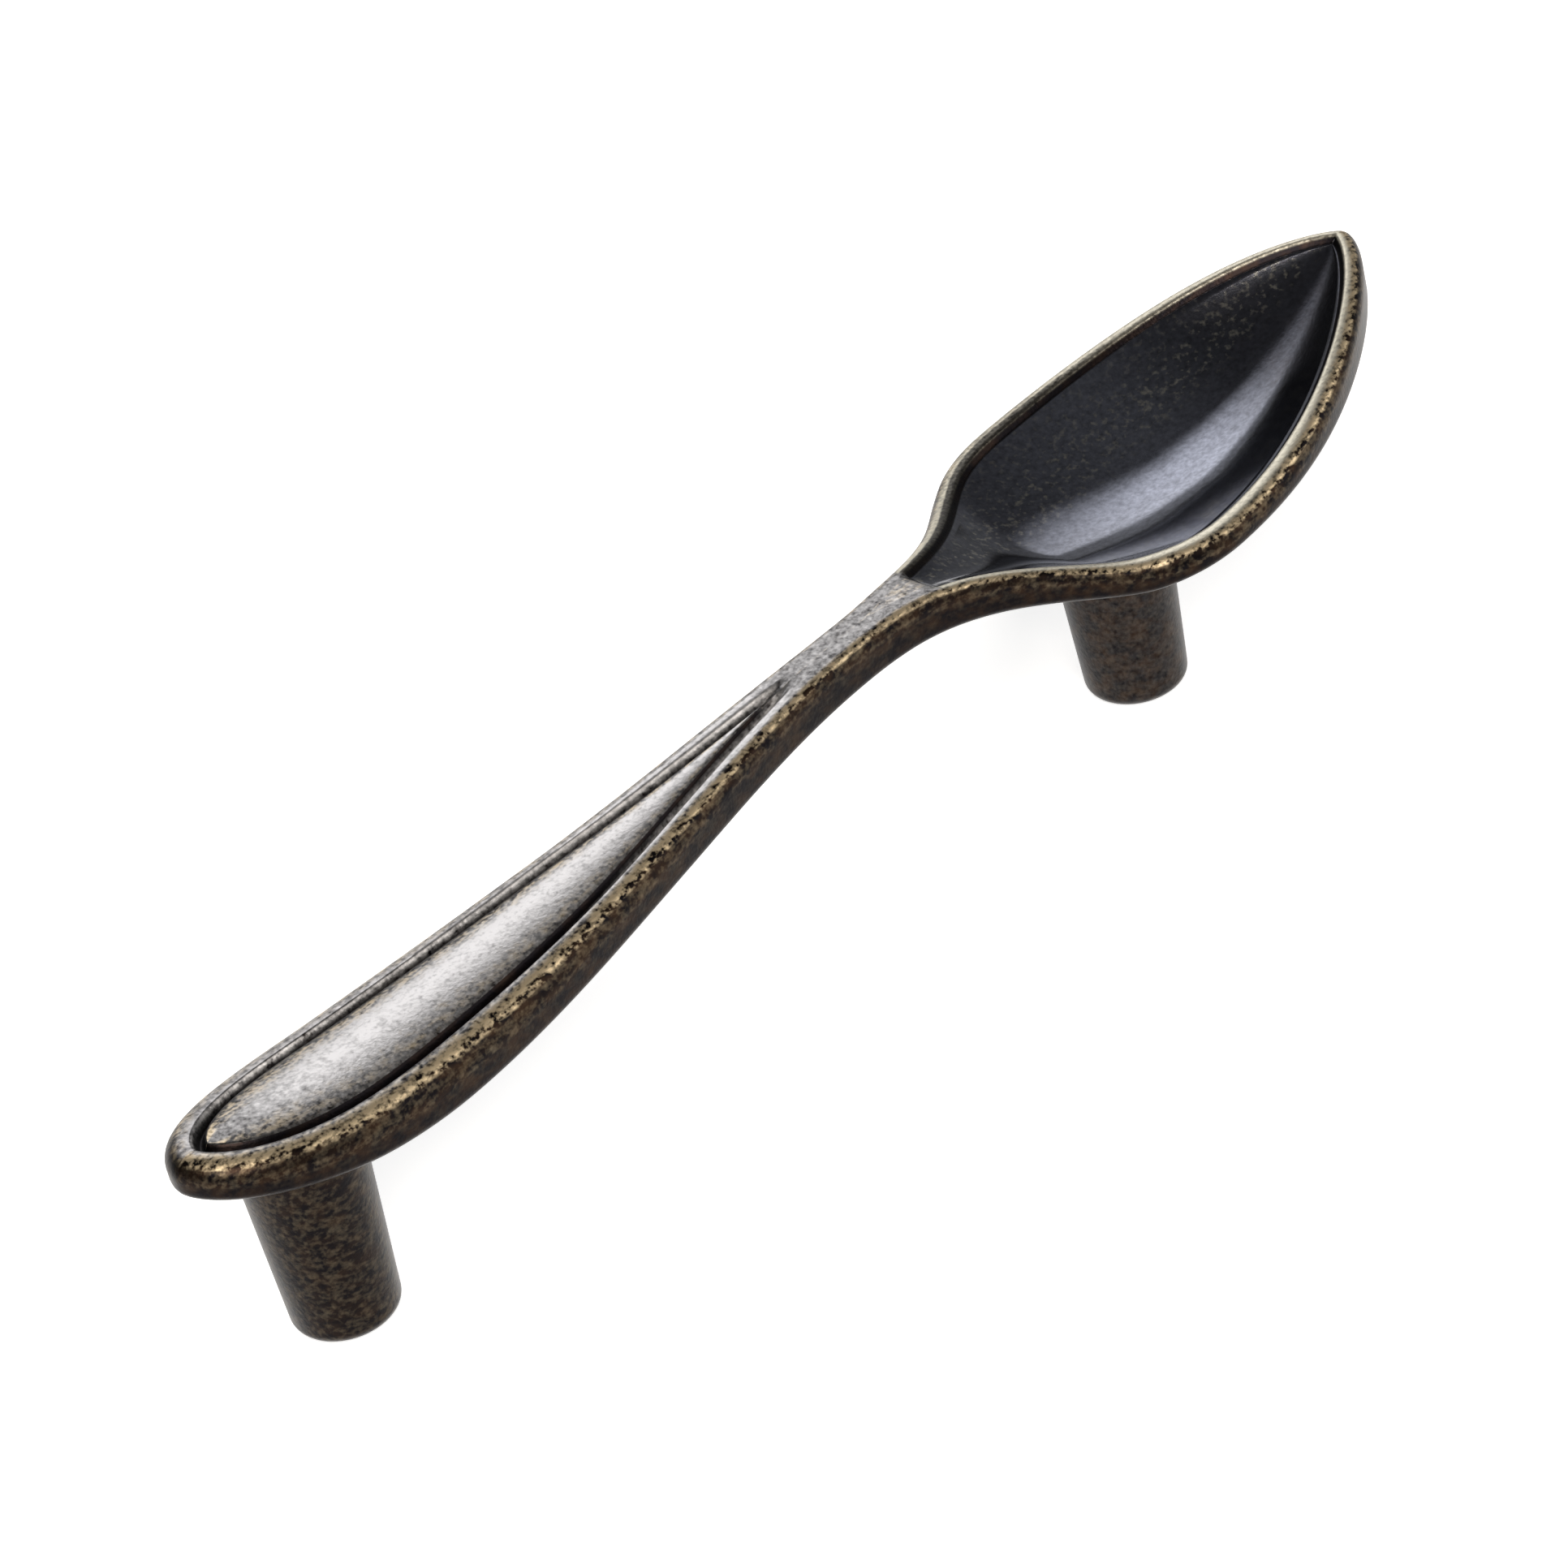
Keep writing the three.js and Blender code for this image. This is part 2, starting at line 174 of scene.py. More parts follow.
def pale_floor():
    material = bpy.data.materials.new("pale_floor")
    material.use_nodes = True
    tree = material.node_tree
    tree.nodes.clear()
    seen = node(tree, "ShaderNodeLightPath", output="Is Camera Ray")
    for mirrored in ("Is Glossy Ray", "Is Transmission Ray"):
        seen = seen + node(tree, "ShaderNodeLightPath", output=mirrored)
    matt = node(tree, "ShaderNodeBsdfDiffuse", {}, {"Color": FLOOR_PAINT})
    glow = node(tree, "ShaderNodeEmission", {}, {"Color": WHITE, "Strength": seen.clamped() * FLOOR_GLOW})
    both = node(tree, "ShaderNodeAddShader", {}, {0: matt, 1: glow})
    node(tree, "ShaderNodeOutputMaterial", {}, {"Surface": both})
    return material


floor_mesh = bmesh.new()
bmesh.ops.create_grid(floor_mesh, x_segments=1, y_segments=1, size=FLOOR_REACH)
floor_data = bpy.data.meshes.new("floor")
floor_mesh.to_mesh(floor_data)
floor_mesh.free()
floor = bpy.data.objects.new("floor", floor_data)
bpy.context.scene.collection.objects.link(floor)
floor_data.materials.append(pale_floor())
print("floor:", 2 * FLOOR_REACH, "m square")

# %% [markdown]
# ## The surroundings
#
# Bare metal has hardly any colour of its own: it shows what stands around it. A plain grey sky
# would leave the bowl flat. So the sky is dim, a little darker overhead, and has one soft glow low
# behind the far side, which the panel's crown and the hollow of the bowl mirror as highlights.
# Under the glow it is dark again down to the table, and that ends the bowl's highlight.

# %% Paint the surroundings
SKY_COLOUR = (0.97, 0.98, 1.0, 1)
HORIZON_LIGHT = 0.25
OVERHEAD_LIGHT = 0.12
GLOW_LIGHT = 1.6
GLOW_TOWARDS = (0.485, 0.747, 0.454)
GLOW_EDGE = 0.88
GLOW_UNDERSIDE = (0.31, 0.36)
LIGHT_UNDER_GLOW = 0.12

world = bpy.data.worlds.new("surroundings")
bpy.context.scene.world = world
world.use_nodes = True
sky_tree = world.node_tree
sky_tree.nodes.clear()
direction = node(sky_tree, "ShaderNodeTexCoord", output="Generated")
height = node(sky_tree, "ShaderNodeSeparateXYZ", {}, {0: direction}, output="Z")
towards_glow = node(
    sky_tree,
    "ShaderNodeVectorMath",
    {"operation": "DOT_PRODUCT"},
    {0: direction, 1: GLOW_TOWARDS},
    output="Value",
)


def fading(value, start, end, before, after):
    """A soft change from one level to another."""
    limits = {"Value": value, "From Min": start, "From Max": end, "To Min": before, "To Max": after}
    return node(sky_tree, "ShaderNodeMapRange", {"interpolation_type": "SMOOTHSTEP"}, limits)


above_band = fading(height, *GLOW_UNDERSIDE, LIGHT_UNDER_GLOW, 1.0)
glow = above_band * fading(towards_glow, GLOW_EDGE, 1.0, 0.0, GLOW_LIGHT)
strength = fading(height, 0.1, 0.7, HORIZON_LIGHT, OVERHEAD_LIGHT) + glow
sky = node(sky_tree, "ShaderNodeBackground", {}, {"Color": SKY_COLOUR, "Strength": strength})
node(sky_tree, "ShaderNodeOutputWorld", {}, {"Surface": sky})
print("sky nodes:", len(sky_tree.nodes))

# %% [markdown]
# ## The lamps
#
# Two square softboxes light the near side. A point lamp would leave hard dots on the metal, and a
# box gives a broad sheen. The stronger and warmer one stands above and behind the camera. The
# weaker one, on the right, opens up the shadows.


# %% Soft lamps
def soft_lamp(name, place, side, watts, colour):
    """A square softbox that looks at the middle of the pull."""
    data = bpy.data.lights.new(name, "AREA")
    data.size = side
    data.energy = watts
    data.color = colour
    lamp = bpy.data.objects.new(name, data)
    lamp.location = place
    lamp.rotation_euler = (LOOK_AT - Vector(place)).to_track_quat("-Z", "Y").to_euler()
    bpy.context.scene.collection.objects.link(lamp)


soft_lamp("key", place=(-0.45, -0.5, 0.75), side=0.5, watts=10.0, colour=(1.0, 0.95, 0.88))
soft_lamp("fill", place=(0.55, -0.6, 0.4), side=0.6, watts=3.0, colour=(1.0, 0.97, 0.92))

# %% [markdown]
# ## The sizes of the casting
#
# These are the sizes of the solid, in millimetres, so that the fine surface lies where the solid
# does. X runs from the handle's end to the bowl's tip, Y across, and Z away from the door. Most
# places are given from one of the two screws, because the screws are what the door fixes.

# %% Sizes
HOLE_SPACING = 96.0
HANDLE_SCREW = -HOLE_SPACING / 2
BOWL_SCREW = HOLE_SPACING / 2

# The outline from above: places along X with the half width there
END = HANDLE_SCREW - 11.1
HANDLE_WIDE = (HANDLE_SCREW + 5.5, 7.85)
NECK = (BOWL_SCREW - 30.3, 2.4)
BOWL_WIDE = (BOWL_SCREW + 1.2, 15.4)
TIP = BOWL_SCREW + 35.0
END_NOSE = 1.7
TIP_NOSE = 5.0
TIP_ANGLE = math.radians(63.6)
TIP_RADIUS = 1.6

# The rim's line from the side: places along X with the height there
HANDLE_LOW = (HANDLE_SCREW + 12.3, 20.55)
NECK_TOP = (BOWL_SCREW - 26.3, 24.25)
BOWL_LOW = (BOWL_SCREW - 6.7, 20.35)
END_HEIGHT = 23.1
END_SLOPE = 0.19
TIP_HEIGHT = 26.55
TIP_SLOPE = 0.08

# The panel and its groove
GROOVE_END = BOWL_SCREW - 37.0
GROOVE_RUNOUT = 5.0
GROOVE_WIDTH = 1.3
GROOVE_DEPTH = 0.9
PANEL_CROWN = 0.7

# The rims and edges
EDGE_ROUND = 2.2
SHANK_EDGE_ROUND = 1.1
BOWL_EDGE_ROUND = 1.4
UNDER_ROUND = 0.7
EDGE_MOST = 0.55
UNDER_MOST = 0.3

# The bowl
RECESS = BOWL_SCREW - 22.0
RECESS_STEP = 0.6
BEAD_LIP = 0.6
BEAD_ROLL = 0.15
TIP_BEAD_TOP = 0.1
BOWL_DEPTH = 4.3
BOWL_DEEP = BOWL_SCREW + 8.0
BOWL_NECK_FALL = 1.6
BOWL_TIP_RISE = 3.0
BOWL_CROSS_ARCH = 1.85
BOWL_WALL = 2.0
TIP_BEAD = BOWL_EDGE_ROUND + TIP_BEAD_TOP + BEAD_LIP
TIP_RECESS = TIP - TIP_RADIUS - (TIP_BEAD - TIP_RADIUS) / math.sin(TIP_ANGLE)
print("length:", round(TIP - END, 1), "width:", BOWL_WIDE[1] * 2)

# %% [markdown]
# ## The two lines that shape it
#
# Seen from above, the pull is an outline of four long curves and a small round at the tip. Seen
# from the side, its rim follows one flowing line. Both are Bezier curves. Blender's own curve
# objects could carry them, but the section changes all the way along, so we read the curves as
# plain functions and ask for a point wherever a section stands. The plain shares in the curves say
# how far along a stretch its handles reach.


# %% Curves
def bezier(points, t):
    """A point and the direction of a cubic curve at t."""
    a, b, c, d = (Vector(p) for p in points)
    u = 1 - t
    place = u**3 * a + 3 * u * u * t * b + 3 * u * t * t * c + t**3 * d
    along = u * u * (b - a) + 2 * u * t * (c - b) + t * t * (d - c)
    return place, along.normalized()


def flowing(start, end, leave, reach):
    """A curve that leaves and arrives level."""
    run = end[0] - start[0]
    return [start, (start[0] + run * leave, start[1]), (end[0] - run * reach, end[1]), end]


def part_way(a, b, share):
    return a + (b - a) * share


tip_turn = math.pi / 2 - TIP_ANGLE
tip_start = (
    TIP - TIP_RADIUS + TIP_RADIUS * math.cos(tip_turn),
    TIP_RADIUS * math.sin(tip_turn),
)
outline = [
    [(END, 0), (END, END_NOSE), (part_way(HANDLE_WIDE[0], END, 0.855), HANDLE_WIDE[1]), HANDLE_WIDE],
    flowing(HANDLE_WIDE, NECK, 0.355, 0.315),
    flowing(NECK, BOWL_WIDE, 0.6, 0.39),
    [
        BOWL_WIDE,
        (part_way(BOWL_WIDE[0], TIP, 0.51), BOWL_WIDE[1]),
        (tip_start[0] - TIP_NOSE * math.cos(TIP_ANGLE), tip_start[1] + TIP_NOSE * math.sin(TIP_ANGLE)),
        tip_start,
    ],
]
end_run = (HANDLE_LOW[0] - END) * 0.35
tip_run = (TIP - BOWL_LOW[0]) * 0.3
crest_line = [
    [
        (END, END_HEIGHT),
        (END + end_run, END_HEIGHT - end_run * END_SLOPE),
        (part_way(HANDLE_LOW[0], END, 0.4), HANDLE_LOW[1]),
        HANDLE_LOW,
    ],
    flowing(HANDLE_LOW, NECK_TOP, 0.5, 0.36),
    flowing(NECK_TOP, BOWL_LOW, 0.44, 0.19),
    [
        BOWL_LOW,
        (part_way(BOWL_LOW[0], TIP, 0.48), BOWL_LOW[1]),
        (TIP - tip_run, TIP_HEIGHT - tip_run * TIP_SLOPE),
        (TIP, TIP_HEIGHT),
    ],
]
HALVINGS = 26


def crest(x):
    """Height of the rim's top at x, found by halving the curve again and again."""
    curve = next((c for c in crest_line if x <= c[3][0]), crest_line[-1])
    low, high = 0.0, 1.0
    for _ in range(HALVINGS):
        middle = (low + high) / 2
        if bezier(curve, middle)[0].x < x:
            low = middle
        else:
            high = middle
    return bezier(curve, low)[0].y


print("crest over the screws:", round(crest(HANDLE_SCREW), 2), round(crest(BOWL_SCREW), 2))

# %% [markdown]
# ## Sizes that change along the pull
#
# The casting is thickest behind the panel and thinnest under the bowl, and its edges are rounder
# at the handle than at the neck. Each such size is a short list of places with the size there, and
# it eases from one to the next without a corner. Two shares say where the grooves end and where
# the bowl begins.


# %% Sizes along the pull
def smooth(x, start, end):
    """Rises from 0 at the start to 1 at the end, level at both."""
    t = min(1.0, max(0.0, (x - start) / (end - start)))
    return t * t * (3 - 2 * t)


def easing(x, *places):
    """Eases from one (x, value) to the next."""
    if x <= places[0][0]:
        return places[0][1]
    for (x0, v0), (x1, v1) in zip(places, places[1:]):
        if x < x1:
            return part_way(v0, v1, smooth(x, x0, x1))
    return places[-1][1]


def thickness(x):
    return easing(
        x,
        (END, 3.5),
        (HANDLE_LOW[0], 4.6),
        ((HANDLE_LOW[0] + NECK[0]) / 2, 3.95),
        (NECK_TOP[0], 3.95),
        (BOWL_WIDE[0], 2.4),
        (TIP, 4.35),
    )


def edge_round(x):
    return easing(
        x,
        (HANDLE_LOW[0], EDGE_ROUND),
        (GROOVE_END, SHANK_EDGE_ROUND),
        (NECK_TOP[0], SHANK_EDGE_ROUND),
        (BOWL_WIDE[0], BOWL_EDGE_ROUND),
    )


def groove_inset(x):
    return easing(x, (END, 2.95), (HANDLE_LOW[0], 2.9), ((HANDLE_LOW[0] + GROOVE_END) / 2, 2.35))


def bead_top(x):
    return easing(x, (RECESS, 0.3), (BOWL_WIDE[0], 0.7), (TIP, TIP_BEAD_TOP))


def groove_share(x):
    """1 along the handle, 0 past the grooves."""
    return 1 - smooth(x, GROOVE_END - GROOVE_RUNOUT, GROOVE_END)


def recess_share(x):
    """0 up to the neck, 1 in the bowl."""
    return smooth(x, RECESS, RECESS + BEAD_LIP)


def floor_depth(x):
    """Depth of the bowl along its centre line."""
    reach = BOWL_DEEP - RECESS if x < BOWL_DEEP else TIP_RECESS - BOWL_DEEP
    off = min(1.0, abs(x - BOWL_DEEP) / reach)
    power = BOWL_NECK_FALL if x < BOWL_DEEP else BOWL_TIP_RISE
    return RECESS_STEP + (BOWL_DEPTH - RECESS_STEP) * (1 - off**power)


print("thickness at the neck:", thickness(NECK[0]), "bowl depth:", round(floor_depth(BOWL_DEEP), 2))

# %% [markdown]
# ## The skin of the spoon
#
# The real spoon was modelled once, as a pattern for the casting, and its section flows from a
# grooved panel to a hollow bowl. We could sculpt it or loft it from cut sections. A grid whose
# rows are sections is easier to control: one operator makes the grid, and each of its points is
# then moved to its place on a section. The middle column lies along the top's centre line. From
# there the columns run both ways, over the rim and back underneath, until the two outer ones meet.
#
# A section is worked out inward from the outline: how far in the edge's round ends, where the lip
# of the groove or of the bowl stands, and where the panel or the bowl's floor begins.


# %% One half section
def section(place, inward, reach):
    """The sizes of the section that runs inward from a place on the outline."""
    x = place.x
    in_bowl = smooth(x, GROOVE_END, RECESS)
    groove = groove_inset(x)
    groove_lip = groove - GROOVE_WIDTH / 2
    radius = part_way(min(edge_round(x), groove_lip), edge_round(x), in_bowl)
    bead_lip = radius + bead_top(x)
    thick = thickness(x)
    return {
        "place": place,
        "inward": inward,
        "reach": reach,
        "radius": radius,
        "thick": thick,
        "lip": part_way(groove_lip, bead_lip, in_bowl),
        "face": part_way(groove + GROOVE_WIDTH / 2, bead_lip + BEAD_LIP, in_bowl),
        "edge_height": min(radius, thick * EDGE_MOST),
        "under_height": min(UNDER_ROUND, thick * UNDER_MOST),
    }


def rim_drop(half, x, inset):
    """How far the upper face lies below the crest, near the rim."""
    out = max(0.0, 1 - inset / half["radius"])
    edge = half["edge_height"] * (1 - math.sqrt(max(0.0, 1 - out * out)))
    middle = (half["lip"] + half["face"]) / 2
    across = min(1.0, abs(inset - middle) / (half["face"] - middle))
    groove = GROOVE_DEPTH * (0.5 + 0.5 * math.cos(math.pi * across)) * groove_share(x)
    bead = RECESS_STEP * smooth(inset, half["lip"] - BEAD_ROLL, half["face"]) * recess_share(x)
    return edge + groove + bead


def face_drop(half, x, share):
    """The same for the panel or the bowl's floor, from its edge (0) to the centre line (1)."""
    width = (half["place"].y - half["face"]) / (HANDLE_WIDE[1] - half["face"])
    crown = PANEL_CROWN * min(1.0, max(0.0, width)) * (1 - (1 - share) ** 2) * groove_share(x)
    hollow = (floor_depth(x) - RECESS_STEP) * (1 - (1 - share) ** BOWL_CROSS_ARCH) * recess_share(x)
    return rim_drop(half, x, min(half["face"], half["reach"])) + hollow - crown


def belly_drop(thick, x):
    """How far the underside bulges below a rim this thick, to leave a wall under the bowl."""
    return max(0.0, floor_depth(x) * recess_share(x) + BOWL_WALL - thick)


COLUMNS = {"face": 16, "step": 10, "top": 2, "edge": 12, "wall": 4, "under": 5, "belly": 14}
column_count = sum(COLUMNS.values())
print("columns in half a section:", column_count)


# %% Where each point of a section goes
def on_section(half, zone, t):
    """The place of a point that is part t of the way through a zone, in millimetres."""

    def at(inset):
        held = min(inset, half["reach"])
        x = half["place"].x + half["inward"].x * held
        y = 0.0 if half["reach"] <= inset else max(0.0, half["place"].y + half["inward"].y * held)
        return x, y, held

    if zone == "face":
        x, y, _ = at(half["face"])
        share = 1 - t
        return x, y * (1 - share), crest(x) - face_drop(half, x, share if y > 0 else 0)
    if zone in ("step", "top", "edge"):
        inset = {
            "step": part_way(half["face"], half["lip"], t),
            "top": part_way(half["lip"], half["radius"], t),
            "edge": half["radius"] * (1 - math.cos(math.pi / 2 * (1 - t))),
        }[zone]
        x, y, held = at(inset)
        return x, y, crest(x) - rim_drop(half, x, held)
    if zone == "wall":
        x, y, _ = at(0)
        return x, y, crest(x) - part_way(half["edge_height"], half["thick"] - half["under_height"], t)
    if zone == "under":
        x, y, _ = at(UNDER_ROUND * (1 - math.cos(math.pi / 2 * t)))
        return x, y, crest(x) - half["thick"] + half["under_height"] * (1 - math.sin(math.pi / 2 * t))
    x, y, _ = at(UNDER_ROUND)
    arch = 1 - (1 - t) ** 2 if y > 0 else 0
    return x, y * (1 - t), crest(x) - half["thick"] - belly_drop(half["thick"], x) * arch


def zone_at(column):
    """The zone that a column of the grid belongs to, and how far through it the column is."""
    for zone, count in COLUMNS.items():
        if column <= count:
            break
        column -= count
    return zone, column / count


print("column 20 is in", zone_at(20))

# %% [markdown]
# The sections stand square to the outline, at even steps of each curve's own parameter. Around
# the tip they fan out from one centre. The one at the handle's end reaches in as far as the centre
# of the end's own round, which the first three points of its curve give.

# %% Stations along the outline
STATIONS = [76, 96, 84, 84]
TIP_STATIONS = 8
end_round = 1.5 * END_NOSE**2 / (outline[0][2][0] - END)
rows = [section(Vector((END, 0)), Vector((1, 0)), end_round)]
for curve, count in zip(outline, STATIONS):
    for step in range(1 if curve is outline[0] else 0, count):
        place, along = bezier(curve, step / count)
        inward = Vector((along.y, -along.x))
        rows.append(section(place, inward, place.y / -inward.y))
for step in range(TIP_STATIONS):
    turn = tip_turn * (1 - step / TIP_STATIONS)
    out = Vector((math.cos(turn), math.sin(turn)))
    rows.append(section(Vector((TIP - TIP_RADIUS, 0)) + out * TIP_RADIUS, -out, TIP_RADIUS))
rows.append(section(Vector((TIP, 0)), Vector((-1, 0)), TIP_RADIUS))
print("stations:", len(rows))

# %% [markdown]
# ## How worn each place is, and where light and shade are painted
#
# Antique bronze is darkened all over and then buffed. The wheel reaches the panel's crown and the
# tops of the rims best, rubs the rounded edge to bronze, leaves the neck half bare, and never gets
# into the grooves. Where the silver, cream and bronze differ between the far and the near side,
# the difference is painted light and shade. The lower half of the edge, the outer wall and the
# underside grow darker downwards, which is painted shade. The bowl keeps a smooth blue-black with
# a few bare flecks, and its blue-black is strongest in the middle, which paints the highlight
# there. We could paint all this by hand, but each point of a section already knows its zone. So
# each zone has a function that says how much of six finishes it shows, and the shares are stored
# with the points as six attributes. The shares were judged.

# %% Wear, with painted light and shade, on the upper side
FINISHES = ("silver", "cream", "bronze", "brown", "bowl", "flecks")
SHELTERED_BROWN = 0.3


def past_handle_screw(x, start, end):
    """Rises from 0 to 1 between two distances beyond the handle's screw."""
    return smooth(x, HANDLE_SCREW + start, HANDLE_SCREW + end)


def past_bowl_screw(x, start, end):
    """Rises from 0 to 1 between two distances beyond the bowl's screw."""
    return smooth(x, BOWL_SCREW + start, BOWL_SCREW + end)


def bare_neck(x):
    """Silver between the grooves' end and the bowl."""
    return (1 - groove_share(x)) * (1 - recess_share(x)) * 0.42


def face_finish(t, x, far):
    """The panel, the neck and the bowl's floor, from the centre line (0) to the edge (1)."""
    # The far flank keeps less silver than the near one: painted shade.
    flank_silver_with_shade = 0.15 if far else 0.38
    across_panel = part_way(0.96, flank_silver_with_shade, smooth(t, 0.4, 1.0))
    along_panel = part_way(0.2, 1.0, past_handle_screw(x, -11, 7))
    bronze_ring = 0.4 * smooth(t, 0.3, 0.6) * (1 - smooth(t, 0.85, 1.0))
    # The bowl's blue-black is weaker towards the neck and the tip, which paints its highlight into the
    # middle.
    painted_highlight_from_neck = part_way(0.48, 1.0, past_bowl_screw(x, -14, 10))
    painted_highlight_to_tip = part_way(1.0, 0.36, past_bowl_screw(x, 9, 23))
    fleck_belt = smooth(t, 0.2, 0.5) - 0.6 * smooth(t, 0.55, 0.95)
    return {
        "silver": groove_share(x) * across_panel * along_panel + bare_neck(x),
        "bronze": groove_share(x) * bronze_ring + bare_neck(x) * 0.5,
        "brown": SHELTERED_BROWN,
        "bowl": recess_share(x) * painted_highlight_from_neck * painted_highlight_to_tip,
        "flecks": recess_share(x) * fleck_belt if far else 0.0,
    }


def step_finish(t, x, far):
    """The side of the groove or of the bowl's bead, from its foot (0) up to its lip (1)."""
    along = past_handle_screw(x, 8, 43)
    # The silver on the lip and the cream on the bead differ between the far and the near side as painted
    # light and shade, and the far bead is darker as painted shade.
    if far:
        lip = part_way(0.42, 0.9, along)
        lip_start = 0.62
        bead = part_way(0.1, 0.28, past_bowl_screw(x, 4, 18))
        bead_start = 0.75
    else:
        lip = part_way(0.15, 0.95, along)
        lip_start = part_way(0.6, 0.2, along)
        bead = 1.0
        bead_start = part_way(0.25, 0.75, past_bowl_screw(x, 0, 10))
    return {
        "silver": groove_share(x) * lip * smooth(t, lip_start, lip_start + 0.3) + bare_neck(x),
        "cream": recess_share(x) * bead * smooth(t, bead_start, bead_start + 0.25),
        "brown": SHELTERED_BROWN,
        "bowl": recess_share(x) * 0.6 * (1 - smooth(t, 0.0, 0.2)),
    }


def top_finish(x, far):
    """The top of the lip or of the bead."""
    along = past_handle_screw(x, 8, 43)
    # The lip and the bead differ between the far and the near side as painted light and shade.
    lip = part_way(0.6, 0.95, along) if far else part_way(0.15, 0.95, along)
    bead = part_way(0.12, 0.8, past_bowl_screw(x, 6, 20)) if far else 0.95
    return {
        "silver": groove_share(x) * lip + bare_neck(x),
        "cream": recess_share(x) * bead,
        "brown": SHELTERED_BROWN,
    }


print("panel:", face_finish(0, -40, False))
print("groove:", step_finish(0.5, -40, False))


# %% Wear and painted shade on the edge and below it
def edge_finish(t, x, far):
    """The rounded edge, from the top (0) to the outer side (1)."""
    # On the far edge the silver and cream reach further down the round, the cream is weaker beside the
    # bowl's screw, and the bronze is cut to a third: painted light and shade.
    start = 0.2 if far else 0.05
    off_middle = smooth(abs(x - BOWL_SCREW), 4, 13)
    bead = part_way(0.6, 0.95, off_middle) if far else 0.95
    # The bronze is rubbed wear near the top of the round, and it fades to dark over the lower half, which
    # is painted shade.
    rubbed_and_shaded = smooth(t, 0.03, 0.16) * part_way(0.78, 0.02, smooth(t, 0.28, 0.58))
    return {
        "silver": (groove_share(x) * 0.5 + bare_neck(x)) * (1 - smooth(t, start, start + 0.2)),
        "cream": recess_share(x) * bead * (1 - smooth(t, start + 0.03, start + 0.25)),
        "bronze": rubbed_and_shaded * (0.3 if far else 1.0),
        "brown": 1.0,
    }


def wall_patina_and_shade(down):
    """The outer wall, from its upper end (0) to its lower end (1), and the underside (1)."""
    # Both shares fall towards the bottom, so the wall and the underside darken downwards: painted shade
    # on the patina.
    return {"bronze": part_way(0.007, 0.002, down), "brown": part_way(0.95, 0.45, down)}


def finish_at(zone, t, x, far):
    """How much of each finish shows, from 0 to 1. A finish that is left out doesn't show."""
    if zone == "face":
        return face_finish(t, x, far)
    if zone == "step":
        return step_finish(t, x, far)
    if zone == "top":
        return top_finish(x, far)
    if zone == "edge":
        return edge_finish(t, x, far)
    return wall_patina_and_shade(t if zone == "wall" else 1.0)


def finish_layers(mesh):
    return {name: mesh.verts.layers.float.new(name) for name in FINISHES}


def set_finish(vert, layers, shares):
    for name, layer in layers.items():
        vert[layer] = shares.get(name, 0.0)


print("edge:", finish_at("edge", 0.2, -40, False))

# %% [markdown]
# Now the grid is made and each of its points is moved to its place. Where a section is narrow,
# several points come to lie on the centre line. Merging the doubles joins them, and also closes
# the seam underneath and both ends.

# %% Build the skin
MERGE_DISTANCE = 1e-6
THINNEST_EDGE = 1e-7

skin = bmesh.new()
layers = finish_layers(skin)
row_count = len(rows) - 1
bmesh.ops.create_grid(skin, x_segments=row_count, y_segments=2 * column_count, size=1.0)
for vert in skin.verts:
    row = round((vert.co.x + 1) / 2 * row_count)
    column = round(vert.co.y * column_count)
    zone, t = zone_at(abs(column))
    x, y, z = on_section(rows[row], zone, t)
    vert.co = Vector((x, math.copysign(y, column), z)) * MM
    set_finish(vert, layers, finish_at(zone, t, x, far=column > 0))
bmesh.ops.remove_doubles(skin, verts=skin.verts[:], dist=MERGE_DISTANCE)
bmesh.ops.dissolve_degenerate(skin, edges=skin.edges[:], dist=THINNEST_EDGE)
bmesh.ops.recalc_face_normals(skin, faces=skin.faces[:])
open_edges = sum(1 for e in skin.edges if len(e.link_faces) != 2)
print("skin faces:", len(skin.faces), "edges not shared by two faces:", open_edges)

# %% [markdown]
# ## The posts
#
# Each post is a plain tapered round with a softened foot, and it is drilled and tapped from below
# for the screw that comes through the door. A turned shape is spun from its profile. The profile
# starts at the drill's point inside the hole, comes out over the foot and goes up into the casting.

# %% Spin the posts
FOOT_RADIUS = 4.5
FOOT_ROUND = 1.25
FOOT_STEPS = 8
POST_TAPER = 0.05
POST_STEPS = 12
POST_SINK = 0.45
POST_SIDES = 96
THREAD_MAJOR = 2.0
HOLE_DEPTH = 11.0
HOLE_MOUTH = 0.15
HOLE_FLARE = 0.12
DRILL_POINT = 1.0
HANDLE_POST_FINISH = {"bronze": 0.013, "brown": 0.4}
BOWL_POST_FINISH = {"silver": 0.015, "bronze": 0.004, "brown": 0.7}


def post_profile(x):
    """Radius and height of the post from the hole's blind end to the post's top."""
    at_foot = FOOT_RADIUS + POST_TAPER * FOOT_ROUND
    under = crest(x) - thickness(x) - belly_drop(thickness(x), x)
    over = crest(x) - floor_depth(x) * recess_share(x)
    top = part_way(under, over, POST_SINK)
    points = [
        (0, HOLE_DEPTH + DRILL_POINT),
        (THREAD_MAJOR, HOLE_DEPTH),
        (THREAD_MAJOR, HOLE_MOUTH),
        (THREAD_MAJOR + HOLE_FLARE, 0.0),
    ]
    for step in range(FOOT_STEPS + 1):
        turn = math.pi / 2 * step / FOOT_STEPS
        points.append((at_foot - FOOT_ROUND * (1 - math.sin(turn)), FOOT_ROUND * (1 - math.cos(turn))))
    for step in range(1, POST_STEPS + 1):
        height = part_way(FOOT_ROUND, top, step / POST_STEPS)
        points.append((FOOT_RADIUS + POST_TAPER * height, height))
    points.append((0, top))
    return points


